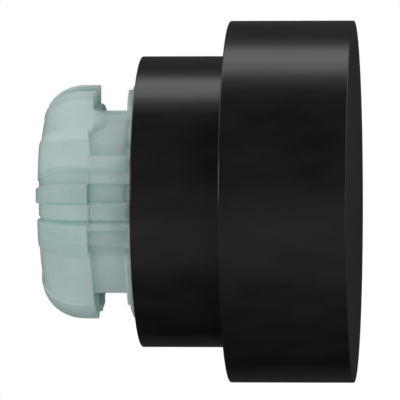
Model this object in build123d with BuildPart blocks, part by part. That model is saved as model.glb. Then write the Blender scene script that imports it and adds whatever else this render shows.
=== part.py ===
"""Operating head of a panel-mounted industrial push button, with a wide palm cap.

The button's axis lies along Y and its face looks towards -Y, with Z up. The origin is on the axis,
in the plane of the panel's front face. Heights along the axis are written as "forward" values:
forward is -Y, so the cap is at positive values and the collar behind the panel at negative ones.
All sizes are in millimetres.
"""

import math
import os

from build123d import *

# ---------------------------------------------------------------- driving dimensions
# Motion and fits
travel = 4.5                    # full stroke of the button
over_travel = 0.1               # left between plunger and cushion when fully pressed
stop_gap = 0.1                  # left between stop clip and web at rest
running = 0.06                  # radial clearance of the plunger in its guide
seating = 0.02                  # radial clearance of pieces that are pushed into a bore

# Guide collar, which passes the standard 22.3 mm panel hole
spigot_radius = 11.05
spigot_depth = 0.8              # how far the full spigot reaches behind the panel's front face
hidden_spigot_step = 0.2        # the spigot is this much slimmer inside the bezel
flange_thickness = 1.2
flange_clearance = 0.05
neck_depth = 2.45               # from the spigot's surface down to the neck
neck_length = 3.25              # from the spigot to the crown's locking face
neck_wall = 1.2
web_depth = 1.9                 # from the panel's front face back to the web
web_thickness = 2.1

# Bayonet crown at the collar's rear
crown_length = 5.15
crown_corner_axial = 3.8        # the rounded corner's size along the axis
crown_flat = 0.35               # flat rear rim beside the cavity
crown_facet_depth = 0.35        # how far the flat facets lie below the lobes
crown_facet_rear = 0.2
crown_relief = 0.03             # the lobes are this much slimmer than the spigot
key_relief = 0.06               # and the keys in front of them this much
lobe_sink = 0.2                 # the lobes' inner side, outside the cavity's wall
rib_proud = 0.3                 # the index rib stands this far behind the crown
ledge_step = 0.8                # small ledge in front of the crown, above the neck
ledge_thickness = 0.6
seat_step = 1.25                # small step behind the spigot, below its surface
seat_step_thickness = 0.4
slot_depth = 1.0
key_sink = 0.6                  # the keys' inner side, below the neck's surface
low_key_step = 0.55

# Angular layout of the collar's rear half: 0 is towards -X, 90 is up, in degrees.
# Every entry but the index rib is repeated half a turn on, as the bayonet needs.
lobe_spans = ((-90.0, -62.0), (-29.0, -11.9), (-9.3, -1.4), (14.1, 40.0))
index_rib_span = (-0.9, 8.8)
slot_span = (-11.9, -9.3)
key_spans = ((-9.3, -1.4), (14.1, 23.3))
low_key_spans = ((-15.4, -11.9), (9.1, 14.1))

# Bezel ring
shoulder_clearance = 0.05       # radial, around the collar's spigot
bezel_shoulder = 2.4            # the rear wall's front face, from the panel
gasket_groove_lip = 0.5         # wall between the shoulder's hole and the gasket's groove
bezel_outer_lip = 0.75          # wall outside the gasket's groove
bezel_wall = 1.55
bezel_seal_wall = 1.1
bezel_edge = 0.25
snap_groove_depth = 0.4

# Panel gasket
gasket_width = 1.5
gasket_thickness = 1.0
gasket_proud = 0.1

# O-ring between collar and bezel
o_ring_section = 0.39
o_ring_gap = 0.01
o_ring_groove_rear = 0.9
o_ring_groove_width = 1.0

# Snap ring that holds the collar in the bezel
snap_thickness = 0.8
snap_width = 1.6
snap_gap = 34.0                 # degrees between the two ends
snap_eye_radius = 1.15
snap_eye_hole = 0.5
snap_eye_gap = 0.15             # between each eye and the bezel's bore

# Stop cushion on the collar's flange
cushion_inset = 0.2             # from the collar's bore to the cushion
cushion_spread = 0.2            # how far the cushion reaches past the cup's rim
cushion_thickness = 0.7

# Plunger: cup, stem and threaded end
cup_landing = 1.6               # how far the cup reaches out over the collar's bore
cup_wall = 1.2
cup_crown = 1.8
lip_reach = 2.0                 # cup length kept for the seal besides the travel
stem_radius = 4.0
stem_flat_depth = 0.5
thread_core = 2.55
thread_height = 0.4
thread_pitch = 0.8
thread_length = 3.3

# Lip seal and the ring that holds it
seal_seat_gap = 0.1             # between the seal's seat and the cup's rear edge at rest
seal_body_thickness = 1.9
seal_lip_gap = 0.05
seal_lip_width = 0.35
seal_lip_rear = 0.95            # from the seal's seat to the lip
seal_rear_root = 1.1            # from the lip out to the seal's body, behind
seal_front_root = 1.7           # and in front
retainer_gap = 0.05
retainer_width = 1.85
retainer_thickness = 1.65

# Return spring and its seat
seat_washer_thickness = 0.5
seat_washer_gap = 0.2           # around the stem
wire_radius = 0.4
spring_gap = 0.8                # between the coil and the collar's bore
coil_turns = 7.0

# Mushroom cap
cap_length = 11.8
cap_wall = 2.0
cap_face = 2.0
skirt_gap = 1.35                # radial gap between the skirt and the bezel
cap_clearance = 1.2             # left in front of the bezel when fully pressed
cap_front_edge = 0.35
cap_rear_edge = 0.2
cap_dish = 0.2
cap_rim = 2.4
rib_count = 8
rib_thickness = 1.1
rib_height = 0.8
rib_inset = 0.6                 # from each rib's end to the skirt

# Threaded insert and lock washer in the cap
insert_wall = 1.23
insert_top_gap = 0.2
insert_groove_depth = 0.4
insert_groove_width = 0.8
hub_wall = 1.4
lock_washer_thickness = 0.4
lock_washer_inset = 0.6

# Stop clip on the stem
clip_thickness = 0.6
clip_shoulder = 2.0             # how far the clip stands out from the stem
clip_groove_depth = 0.3         # below the stem's flats
clip_groove_gap = 0.05
clip_grip = 0.7                 # how far each side of the mouth closes in on the groove

# Contact pusher and its cross pin
pusher_gap = 0.5                # around the pusher in the collar's cavity
pusher_hub_gap = 0.7            # between the pusher's hub and the stop clip
pusher_hub_wall = 1.2
pusher_hub_length = 2.2
pusher_plate = 1.3
pusher_floor = 0.5              # left behind the stem's end
pusher_edge = 0.3
pin_radius = 0.8
pin_inset = 0.2

outside = 1.0                   # how far a cutting shape runs past the piece

# ---------------------------------------------------------------- radii, from the collar outwards
shoulder_radius = spigot_radius + shoulder_clearance
gasket_inner = shoulder_radius + gasket_groove_lip
gasket_outer = gasket_inner + gasket_width
bezel_radius = gasket_outer + bezel_outer_lip
bezel_bore = bezel_radius - bezel_wall
seal_bore = bezel_radius - bezel_seal_wall
snap_groove_radius = bezel_bore + snap_groove_depth
skirt_inner = bezel_radius + skirt_gap
cap_radius = skirt_inner + cap_wall
flange_radius = bezel_bore - flange_clearance
o_ring_centre = shoulder_radius - o_ring_gap - o_ring_section
o_ring_groove_floor = o_ring_centre - o_ring_gap - o_ring_section

# and inwards
neck_radius = spigot_radius - neck_depth
collar_bore = neck_radius - neck_wall
crown_radius = spigot_radius - crown_relief
crown_flat_radius = collar_bore + crown_flat
cup_radius = collar_bore + cup_landing
lip_radius = cup_radius + seal_lip_gap
coil_radius = collar_bore - spring_gap - wire_radius
stem_half_flats = stem_radius - stem_flat_depth
clip_groove_radius = stem_half_flats - clip_groove_depth
pusher_radius = collar_bore - pusher_gap
pusher_hub_radius = stem_radius + pusher_hub_wall
thread_radius = thread_core + thread_height
insert_radius = thread_radius + seating + insert_wall
hub_radius = insert_radius + hub_wall

# ---------------------------------------------------------------- places along the axis
flange_front = bezel_shoulder + flange_thickness
cushion_front = flange_front + cushion_thickness
cup_rear = cushion_front + over_travel + travel
cup_front = cup_rear + travel + lip_reach
cup_floor = cup_front - cup_crown
seal_seat = cup_rear + seal_seat_gap
seal_front = seal_seat + seal_body_thickness
bezel_front = seal_front + retainer_gap + retainer_thickness
lock_washer_front = cup_front + lock_washer_thickness
insert_front = cup_front + thread_length + insert_top_gap
cap_inside = bezel_front + travel + cap_clearance
cap_front = cap_inside + cap_face
cap_rear = cap_front - cap_length

spigot_rear = -spigot_depth
lock_plane = spigot_rear - neck_length
crown_rear = lock_plane - crown_length
web_front = -web_depth
web_rear = web_front - web_thickness
spring_rear = web_front + seat_washer_thickness
clip_front = web_rear - stop_gap
clip_rear = clip_front - clip_thickness
pusher_hub_front = clip_rear - pusher_hub_gap
pusher_hub_rear = pusher_hub_front - pusher_hub_length
pusher_rear = pusher_hub_rear - pusher_plate
stem_rear = pusher_rear + pusher_floor
pin_height = (pusher_hub_rear + pusher_hub_front) / 2

half_section = Plane(origin=(0, 0, 0), x_dir=(1, 0, 0), z_dir=(0, 0, -1))


def band(inner, outer, rear, front, mode=Mode.ADD):
    """One rectangle of a half-section, from radius inner to outer and height rear to front."""
    with Locations((inner, rear)):
        Rectangle(outer - inner, front - rear, align=(Align.MIN, Align.MIN), mode=mode)


def sector_plane(angle):
    """The half-section plane turned to an angle of the collar: 0 is towards -X, 90 is up."""
    turn = math.radians(angle)
    return Plane(
        origin=(0, 0, 0),
        x_dir=(-math.cos(turn), 0, math.sin(turn)),
        z_dir=(math.sin(turn), 0, math.cos(turn)),
    )


def cross_plane(forward):
    """The plane across the axis at a forward height. Extruding from it runs forward."""
    return Plane.XZ.offset(forward)


def both_halves(spans):
    """The same angular spans, and again half a turn on."""
    return [(start + half, end + half) for half in (0, 180) for start, end in spans]


def crown_profile(inner, radius, rear):
    """Half-section of the crown: flat locking face, straight side, rounded corner, flat rear."""
    corner_centre = (crown_flat_radius, rear + crown_corner_axial)
    corner_radial = radius - crown_flat_radius
    with BuildLine() as outline:
        Line((inner, lock_plane), (radius, lock_plane))
        Line((radius, lock_plane), (radius, corner_centre[1]))
        EllipticalCenterArc(corner_centre, corner_radial, crown_corner_axial, start_angle=270,
                            arc_size=90)
        Line((corner_centre[0], rear), (inner, rear))
        Line((inner, rear), (inner, lock_plane))
    make_face(outline.edges())


def double_d(radius, half_flats, mode=Mode.ADD):
    """A round section with two flats, above and below the axis."""
    with BuildSketch(mode=Mode.PRIVATE) as section:
        Circle(radius)
        Rectangle(2 * radius, 2 * half_flats, mode=Mode.INTERSECT)
    add(section.sketch, mode=mode)


def finish(name, builder):
    """Label a finished piece and write its file."""
    builder.part.label = name
    export_step(builder.part, f"parts/{name}.step")


os.makedirs("parts", exist_ok=True)

# ---------------------------------------------------------------- fixed pieces
# Bezel ring: the round black body that clamps on the panel's front and carries the seals.
with BuildPart() as bezel_ring:
    with BuildSketch(half_section) as bezel_section:
        band(shoulder_radius, bezel_radius, gasket_proud, bezel_front)
        fillet(bezel_section.vertices().group_by(Axis.X)[-1], bezel_edge)
        band(shoulder_radius, bezel_bore, bezel_shoulder, bezel_front, Mode.SUBTRACT)
        band(bezel_bore, seal_bore, seal_seat, bezel_front, Mode.SUBTRACT)
        band(bezel_bore, snap_groove_radius, flange_front, flange_front + snap_thickness,
             Mode.SUBTRACT)
        band(gasket_inner, gasket_outer, gasket_proud, gasket_thickness, Mode.SUBTRACT)
    revolve(axis=Axis.Y)
finish("bezel_ring", bezel_ring)

# Panel gasket: the flat rubber ring that seals the bezel against the panel.
with BuildPart() as panel_gasket:
    with BuildSketch(half_section):
        band(gasket_inner + seating, gasket_outer - seating, 0, gasket_thickness)
    revolve(axis=Axis.Y)
finish("panel_gasket", panel_gasket)

# Guide collar: one moulding that guides the plunger, fills the panel hole and carries the
# bayonet crown behind it.
with BuildPart() as guide_collar:
    with BuildSketch(half_section) as collar_section:
        crown_profile(collar_bore, spigot_radius - crown_facet_depth,
                      crown_rear + crown_facet_rear)
        band(collar_bore, neck_radius, lock_plane, spigot_rear)
        band(collar_bore, neck_radius + ledge_step, lock_plane, lock_plane + ledge_thickness)
        band(collar_bore, spigot_radius - seat_step, spigot_rear - seat_step_thickness, spigot_rear)
        band(collar_bore, spigot_radius, spigot_rear, 0)
        band(collar_bore, spigot_radius - hidden_spigot_step, 0, bezel_shoulder)
        band(collar_bore, flange_radius, bezel_shoulder, flange_front)
        band(0, collar_bore, web_rear, web_front)
        band(o_ring_groove_floor, spigot_radius, o_ring_groove_rear,
             o_ring_groove_rear + o_ring_groove_width, Mode.SUBTRACT)
    revolve(axis=Axis.Y)
    for start, end in both_halves(lobe_spans):
        with BuildSketch(sector_plane(start)):
            crown_profile(collar_bore + lobe_sink, crown_radius, crown_rear)
        revolve(axis=Axis.Y, revolution_arc=end - start)
    with BuildSketch(sector_plane(index_rib_span[0])):
        crown_profile(collar_bore + lobe_sink, crown_radius, crown_rear - rib_proud)
    revolve(axis=Axis.Y, revolution_arc=index_rib_span[1] - index_rib_span[0])
    for spans, step in ((key_spans, key_relief), (low_key_spans, low_key_step)):
        for start, end in both_halves(spans):
            with BuildSketch(sector_plane(start)):
                band(neck_radius - key_sink, spigot_radius - step, lock_plane, spigot_rear)
            revolve(axis=Axis.Y, revolution_arc=end - start)
    for start, end in both_halves((slot_span,)):
        with BuildSketch(sector_plane(start)):
            band(spigot_radius - slot_depth, spigot_radius + outside, crown_rear - outside, 0)
        revolve(axis=Axis.Y, revolution_arc=end - start, mode=Mode.SUBTRACT)
    with BuildSketch(cross_plane(web_rear - outside)):
        double_d(stem_radius + running, stem_half_flats + running)
    extrude(amount=web_thickness + 2 * outside, mode=Mode.SUBTRACT)
finish("guide_collar", guide_collar)

# Collar O-ring: seals the collar's spigot in the bezel's rear hole.
with BuildPart() as collar_o_ring:
    with BuildSketch(half_section):
        with Locations((o_ring_centre, o_ring_groove_rear + o_ring_groove_width / 2)):
            Circle(o_ring_section)
    revolve(axis=Axis.Y)
finish("collar_o_ring", collar_o_ring)

# Collar snap ring: the sprung steel ring in the bezel's groove that keeps the collar in.
with BuildPart() as collar_snap_ring:
    snap_outer = snap_groove_radius - seating
    snap_inner = snap_outer - snap_width
    eye_centre_radius = bezel_bore - snap_eye_radius - snap_eye_gap
    eye_angle = snap_gap / 2 + math.degrees(snap_eye_radius / eye_centre_radius)
    with BuildSketch(cross_plane(flange_front)):
        with BuildLine():
            CenterArc((0, 0), snap_outer, 90 + snap_gap / 2, 360 - snap_gap)
            CenterArc((0, 0), snap_inner, 90 + snap_gap / 2, 360 - snap_gap)
            for end in (90 - snap_gap / 2, 90 + snap_gap / 2):
                Line(PolarLocations(snap_inner, 1, start_angle=end).local_locations[0].position,
                     PolarLocations(snap_outer, 1, start_angle=end).local_locations[0].position)
        make_face()
        for angle in (90 - eye_angle, 90 + eye_angle):
            with PolarLocations(eye_centre_radius, 1, start_angle=angle):
                Circle(snap_eye_radius)
                Circle(snap_eye_hole, mode=Mode.SUBTRACT)
    extrude(amount=snap_thickness)
finish("collar_snap_ring", collar_snap_ring)

# Stop cushion: the rubber ring that the plunger lands on at full travel.
with BuildPart() as stop_cushion:
    with BuildSketch(half_section):
        band(collar_bore + cushion_inset, cup_radius + cushion_spread, flange_front,
             cushion_front)
    revolve(axis=Axis.Y)
finish("stop_cushion", stop_cushion)

# Lip seal: wipes the plunger's cup and keeps water out of the head.
with BuildPart() as lip_seal:
    seal_outer = seal_bore - seating
    lip_rear = seal_seat + seal_lip_rear
    with BuildSketch(half_section):
        with BuildLine():
            Polyline(
                (seal_outer, seal_seat),
                (seal_outer, seal_front),
                (lip_radius + seal_front_root, seal_front),
                (lip_radius, lip_rear + seal_lip_width),
                (lip_radius, lip_rear),
                (lip_radius + seal_rear_root, seal_seat),
                close=True,
            )
        make_face()
    revolve(axis=Axis.Y)
finish("lip_seal", lip_seal)

# Seal retainer: the stiff ring pushed into the bezel's mouth to hold the seal.
with BuildPart() as seal_retainer:
    with BuildSketch(half_section):
        band(seal_bore - seating - retainer_width, seal_bore - seating,
             seal_front + retainer_gap, bezel_front)
    revolve(axis=Axis.Y)
    chamfer(seal_retainer.edges().group_by(Axis.Y)[0].sort_by(SortBy.RADIUS)[0], bezel_edge)
finish("seal_retainer", seal_retainer)

# Spring seat washer: the steel washer on the collar's web that the return spring stands on.
with BuildPart() as spring_seat_washer:
    with BuildSketch(half_section):
        band(stem_radius + seat_washer_gap, collar_bore - running, web_front, spring_rear)
    revolve(axis=Axis.Y)
finish("spring_seat_washer", spring_seat_washer)

# ---------------------------------------------------------------- moving pieces
# Plunger: a cup that runs in the lip seal, with a flatted stem behind it and a thread in front.
with BuildPart() as plunger:
    with BuildSketch(half_section):
        band(0, cup_radius, cup_rear, cup_front)
        band(0, cup_radius - cup_wall, cup_rear, cup_floor, Mode.SUBTRACT)
        band(0, thread_core, cup_front, cup_front + thread_length)
    revolve(axis=Axis.Y)
    with BuildSketch(cross_plane(stem_rear)):
        double_d(stem_radius, stem_half_flats)
    extrude(amount=cup_floor - stem_rear)
    with BuildSketch(half_section):
        band(clip_groove_radius, stem_radius + outside, clip_rear - clip_groove_gap,
             clip_front + clip_groove_gap)
    revolve(axis=Axis.Y, mode=Mode.SUBTRACT)
    with BuildSketch(half_section):
        thread_start = cup_front + thread_pitch / 2
        ridge_count = int((thread_length - thread_pitch / 2) / thread_pitch)
        for ridge in range(ridge_count):
            root = thread_start + ridge * thread_pitch
            with BuildLine():
                Polyline(
                    (thread_core, root),
                    (thread_radius, root + thread_pitch / 2),
                    (thread_core, root + thread_pitch),
                    (thread_core / 2, root + thread_pitch / 2),
                    close=True,
                )
            make_face()
    revolve(axis=Axis.Y)
    with BuildSketch(Plane.YZ):
        with Locations((-pin_height, 0)):
            Circle(pin_radius + seating)
    extrude(amount=stem_radius + outside, both=True, mode=Mode.SUBTRACT)
finish("plunger", plunger)

# Return spring: a steel coil between the seat washer and the cup's floor.
with BuildPart() as return_spring:
    coil_length = cup_floor - spring_rear - 2 * wire_radius
    coil = Helix(coil_length / coil_turns, coil_length, coil_radius,
                 center=(0, -(spring_rear + wire_radius), 0), direction=(0, -1, 0))
    with BuildSketch(Plane(origin=coil @ 0, z_dir=coil % 0)):
        Circle(wire_radius)
    sweep(path=coil, is_frenet=True)
finish("return_spring", return_spring)

# Mushroom cap: the wide flat palm button, a cup whose skirt slides over the bezel.
with BuildPart() as mushroom_cap:
    with BuildSketch(half_section) as cap_section:
        band(0, cap_radius, cap_rear, cap_front)
        rim = cap_section.vertices().group_by(Axis.X)[-1].sort_by(Axis.Y)
        fillet(rim[-1], cap_front_edge)
        fillet(cap_section.vertices().group_by(Axis.Y)[0].sort_by(Axis.X)[-1], cap_rear_edge)
        band(0, skirt_inner, cap_rear, cap_inside, Mode.SUBTRACT)
        band(0, hub_radius, lock_washer_front, cap_inside)
        band(0, insert_radius, lock_washer_front, insert_front, Mode.SUBTRACT)
    revolve(axis=Axis.Y)
    with BuildSketch(half_section):
        dish_radius = cap_radius - cap_rim
        dish_sphere = (dish_radius**2 + cap_dish**2) / (2 * cap_dish)
        half_angle = math.asin(dish_radius / dish_sphere) / 2
        dish_middle = (dish_sphere * math.sin(half_angle),
                       cap_front - cap_dish + dish_sphere * (1 - math.cos(half_angle)))
        with BuildLine():
            ThreePointArc((0, cap_front - cap_dish), dish_middle, (dish_radius, cap_front))
            Line((dish_radius, cap_front), (0, cap_front))
            Line((0, cap_front), (0, cap_front - cap_dish))
        make_face()
    revolve(axis=Axis.Y, mode=Mode.SUBTRACT)
    with BuildSketch(cross_plane(cap_inside - rib_height)):
        rib_length = skirt_inner - rib_inset - hub_radius
        with PolarLocations((hub_radius + skirt_inner - rib_inset) / 2, rib_count):
            Rectangle(rib_length + 2 * seating, rib_thickness)
    extrude(amount=rib_height + seating)
finish("mushroom_cap", mushroom_cap)

# Cap insert: the brass nut moulded into the cap's hub.
with BuildPart() as cap_insert:
    with BuildSketch(half_section):
        band(thread_radius + seating, insert_radius, lock_washer_front, insert_front)
        groove_rear = (lock_washer_front + insert_front - insert_groove_width) / 2
        band(insert_radius - insert_groove_depth, insert_radius, groove_rear,
             groove_rear + insert_groove_width, Mode.SUBTRACT)
    revolve(axis=Axis.Y)
finish("cap_insert", cap_insert)

# Cap lock washer: keeps the cap's thread from working loose.
with BuildPart() as cap_lock_washer:
    with BuildSketch(half_section):
        band(thread_radius + running, hub_radius - lock_washer_inset, cup_front,
             lock_washer_front)
    revolve(axis=Axis.Y)
finish("cap_lock_washer", cap_lock_washer)

# Stop clip: the steel clip in the stem's groove that stops the plunger at rest.
with BuildPart() as stop_clip:
    with BuildSketch(cross_plane(clip_rear)):
        clip_radius = stem_radius + clip_shoulder
        clip_mouth = 2 * (clip_groove_radius - clip_grip)
        Circle(clip_radius)
        Circle(clip_groove_radius + seating, mode=Mode.SUBTRACT)
        Rectangle(clip_mouth, 2 * clip_radius, align=(Align.CENTER, Align.MAX), mode=Mode.SUBTRACT)
    extrude(amount=clip_thickness)
finish("stop_clip", stop_clip)

# Contact pusher: the plate behind the stem that presses the contact block.
with BuildPart() as contact_pusher:
    with BuildSketch(half_section):
        band(0, pusher_radius, pusher_rear, pusher_hub_rear)
        band(0, pusher_hub_radius, pusher_hub_rear, pusher_hub_front)
    revolve(axis=Axis.Y)
    chamfer(contact_pusher.edges().group_by(Axis.Y)[-1], pusher_edge)
    with BuildSketch(cross_plane(stem_rear)):
        double_d(stem_radius + seating, stem_half_flats + seating)
    extrude(amount=pusher_hub_front - stem_rear, mode=Mode.SUBTRACT)
    with BuildSketch(Plane.YZ):
        with Locations((-pin_height, 0)):
            Circle(pin_radius + seating)
    extrude(amount=pusher_hub_radius + outside, both=True, mode=Mode.SUBTRACT)
finish("contact_pusher", contact_pusher)

# Pusher pin: the steel cross pin that holds the pusher on the stem.
with BuildPart() as pusher_pin:
    with BuildSketch(Plane.YZ):
        with Locations((-pin_height, 0)):
            Circle(pin_radius)
    extrude(amount=pusher_hub_radius - pin_inset, both=True)
finish("pusher_pin", pusher_pin)
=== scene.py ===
"""Industrial push button head: the visual model, its finishes and a small studio.

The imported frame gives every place. The button's axis lies along Y, its face looks towards -Y and Z is
up. Lengths are metres; "forward" is the distance towards the user, so forward is -Y.
"""

from __future__ import annotations

import logging
import math
from dataclasses import dataclass
from enum import Enum

import bpy
import numpy as np
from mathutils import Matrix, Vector


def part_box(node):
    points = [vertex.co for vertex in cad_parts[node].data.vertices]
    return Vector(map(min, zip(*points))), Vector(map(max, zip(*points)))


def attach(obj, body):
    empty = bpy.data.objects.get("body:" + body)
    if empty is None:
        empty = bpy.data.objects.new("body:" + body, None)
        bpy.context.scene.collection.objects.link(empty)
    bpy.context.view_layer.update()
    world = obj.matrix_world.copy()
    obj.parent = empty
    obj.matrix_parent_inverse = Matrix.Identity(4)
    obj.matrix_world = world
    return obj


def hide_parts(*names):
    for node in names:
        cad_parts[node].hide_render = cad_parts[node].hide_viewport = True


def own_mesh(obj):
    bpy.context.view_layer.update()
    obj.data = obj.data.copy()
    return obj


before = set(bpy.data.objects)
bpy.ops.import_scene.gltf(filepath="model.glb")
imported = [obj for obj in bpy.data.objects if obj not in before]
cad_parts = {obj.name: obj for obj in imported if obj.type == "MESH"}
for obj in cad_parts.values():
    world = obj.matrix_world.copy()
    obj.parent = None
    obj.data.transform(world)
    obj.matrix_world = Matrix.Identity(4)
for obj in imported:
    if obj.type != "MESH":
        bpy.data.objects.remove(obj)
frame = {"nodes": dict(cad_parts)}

# metres in a millimetre, the least divisor, and degrees between the samples of a collar section
MM = 0.001
TINY = 1e-9
FINE_STEP = 0.05
# fractal noise lies mostly between these two values
NOISE_LOW = 0.3
NOISE_HIGH = 0.7
log = logging.getLogger("push_button")


class Body(Enum):
    """The two rigid bodies that pieces ride on."""

    HOUSING = "housing"
    BUTTON = "button"


# ---------------------------------------------------------------- shader helpers


@dataclass(frozen=True)
class Grain:
    """Fractal noise: cells in a metre, octaves, strength of the finer ones, and its stretch."""

    per_metre: float
    octaves: float = 4.0
    roughness: float = 0.5
    stretch: tuple[float, float, float] | None = None


class NodeSheet:
    """A material's node tree, with short calls for the nodes that the finishes share."""

    def __init__(self, name: str) -> None:
        """Start an empty material with a Principled shader on its output.

        Args:
            name: the material's name.
        """
        self.material = bpy.data.materials.new(name)
        self.material.use_nodes = True
        self.tree = self.material.node_tree
        self.tree.nodes.clear()
        self.output = self.tree.nodes.new("ShaderNodeOutputMaterial")
        self.shader = self.tree.nodes.new("ShaderNodeBsdfPrincipled")
        self.link(self.shader.outputs["BSDF"], self.output.inputs["Surface"])
        self.place = self.tree.nodes.new("ShaderNodeTexCoord").outputs["Object"]

    def link(self, source: bpy.types.NodeSocket, target: bpy.types.NodeSocket) -> None:
        """Join two sockets."""
        self.tree.links.new(source, target)

    def constant(self, socket: str, value: object) -> None:
        """Write one constant value on a named socket of the shader."""
        self.shader.inputs[socket].default_value = value

    def stretched(self, scale: tuple[float, float, float]) -> bpy.types.NodeSocket:
        """Object coordinates stretched by a factor along each axis.

        Args:
            scale: the three factors.

        Returns:
            The stretched coordinates' socket.
        """
        node = self.tree.nodes.new("ShaderNodeMapping")
        node.inputs["Scale"].default_value = scale
        self.link(self.place, node.inputs["Vector"])
        return node.outputs["Vector"]

    def noise(self, grain: Grain) -> bpy.types.NodeSocket:
        """Fractal noise over the piece.

        Args:
            grain: its scale, octaves, roughness and stretch.

        Returns:
            The noise's factor socket, from 0 to 1.
        """
        node = self.tree.nodes.new("ShaderNodeTexNoise")
        node.inputs["Scale"].default_value = grain.per_metre
        node.inputs["Detail"].default_value = grain.octaves
        node.inputs["Roughness"].default_value = grain.roughness
        self.link(self.stretched(grain.stretch) if grain.stretch else self.place, node.inputs["Vector"])
        return node.outputs["Fac"]

    def attribute(self, name: str) -> bpy.types.NodeSocket:
        """A number that the mesh carries at each point.

        Args:
            name: the attribute's name.

        Returns:
            The number's socket.
        """
        node = self.tree.nodes.new("ShaderNodeAttribute")
        node.attribute_name = name
        return node.outputs["Fac"]

    def remap(self, value: bpy.types.NodeSocket, low: float, high: float, to_low: float,
              to_high: float) -> bpy.types.NodeSocket:
        """Carry a value from one range to another, clamped at both ends.

        Args:
            value: the socket to read.
            low: start of the range it is read over.
            high: end of that range.
            to_low: result at the start.
            to_high: result at the end.

        Returns:
            The result's socket.
        """
        node = self.tree.nodes.new("ShaderNodeMapRange")
        for name, number in (("From Min", low), ("From Max", high), ("To Min", to_low),
                             ("To Max", to_high)):
            node.inputs[name].default_value = number
        self.link(value, node.inputs["Value"])
        return node.outputs["Result"]

    def spread(self, noise: bpy.types.NodeSocket, low: float, high: float) -> bpy.types.NodeSocket:
        """Carry noise to a range.

        Args:
            noise: the noise's socket.
            low: result where the noise is low.
            high: result where it is high.

        Returns:
            The result's socket.
        """
        return self.remap(noise, NOISE_LOW, NOISE_HIGH, low, high)

    def maths(self, operation: str, first: bpy.types.NodeSocket,
              second: bpy.types.NodeSocket | float) -> bpy.types.NodeSocket:
        """Combine two values with one of the Math node's operations.

        Args:
            operation: the operation's name, such as MULTIPLY.
            first: socket of the first value.
            second: a number or the second value's socket.

        Returns:
            The result's socket.
        """
        node = self.tree.nodes.new("ShaderNodeMath")
        node.operation = operation
        self.link(first, node.inputs[0])
        if isinstance(second, (int, float)):
            node.inputs[1].default_value = second
        else:
            self.link(second, node.inputs[1])
        return node.outputs["Value"]

    def blend(self, factor: bpy.types.NodeSocket, first: object,
              second: object) -> bpy.types.NodeSocket:
        """Mix two colours by a factor.

        Args:
            factor: 0 for the first colour, 1 for the second.
            first: a colour as a tuple or a socket.
            second: a colour as a tuple or a socket.

        Returns:
            The mixed colour's socket.
        """
        node = self.tree.nodes.new("ShaderNodeMix")
        node.data_type = "RGBA"
        self.link(factor, node.inputs["Factor"])
        for socket, colour in ((node.inputs[6], first), (node.inputs[7], second)):
            if isinstance(colour, tuple):
                socket.default_value = (*colour, 1.0)
            else:
                self.link(colour, socket)
        return node.outputs[2]

    def bump(self, layers: list[tuple[bpy.types.NodeSocket, float]]) -> None:
        """Chain bump layers onto the shader's normal.

        Args:
            layers: height sockets from 0 to 1, each with its full height in metres.
        """
        normal = None
        for height, depth in layers:
            node = self.tree.nodes.new("ShaderNodeBump")
            node.inputs["Strength"].default_value = 1.0
            node.inputs["Distance"].default_value = depth
            self.link(height, node.inputs["Height"])
            if normal is not None:
                self.link(normal, node.inputs["Normal"])
            normal = node.outputs["Normal"]
        self.link(normal, self.shader.inputs["Normal"])


# ---------------------------------------------------------------- finishes


@dataclass(frozen=True)
class MouldedBlack:
    """Satin black moulded polyamide: spark-eroded grain, faint flow marks and rubbed edges."""

    name: str
    colour: tuple[float, float, float] = (0.0022, 0.0023, 0.0024)
    rubbed: tuple[float, float, float] = (0.012, 0.012, 0.0125)
    gloss: float = 0.20
    gloss_spread: float = 0.025
    cloud_gain: float = 1.35
    wear_polish: float = 0.06
    broad: Grain = Grain(140.0, 3.0, 0.55)
    smear: Grain = Grain(420.0, 5.0, 0.6, (1.0, 0.35, 1.0))
    grain: Grain = Grain(9000.0, 2.0, 0.6)
    flow: Grain = Grain(700.0, 4.0, 0.55)
    grain_depth: float = 0.0000020
    flow_depth: float = 0.0000035

    def build(self) -> bpy.types.Material:
        """Make the node material.

        Returns:
            The finished material.
        """
        sheet = NodeSheet(self.name)
        smears = sheet.noise(self.smear)
        patches = sheet.remap(smears, 0.35, 0.7, 0.2, 1.0)
        wear = sheet.maths("MULTIPLY", sheet.attribute("edge"), patches)
        tone = tuple(part * self.cloud_gain for part in self.colour)
        base = sheet.blend(sheet.spread(sheet.noise(self.broad), 0.0, 1.0), self.colour, tone)
        sheet.link(sheet.blend(wear, base, self.rubbed), sheet.shader.inputs["Base Color"])
        dull = sheet.spread(smears, self.gloss - self.gloss_spread, self.gloss + self.gloss_spread)
        sheet.link(sheet.maths("SUBTRACT", dull, sheet.maths("MULTIPLY", wear, self.wear_polish)),
                   sheet.shader.inputs["Roughness"])
        sheet.constant("IOR", 1.5)
        sheet.bump([(sheet.noise(self.grain), self.grain_depth),
                    (sheet.noise(self.flow), self.flow_depth)])
        return sheet.material


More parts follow.
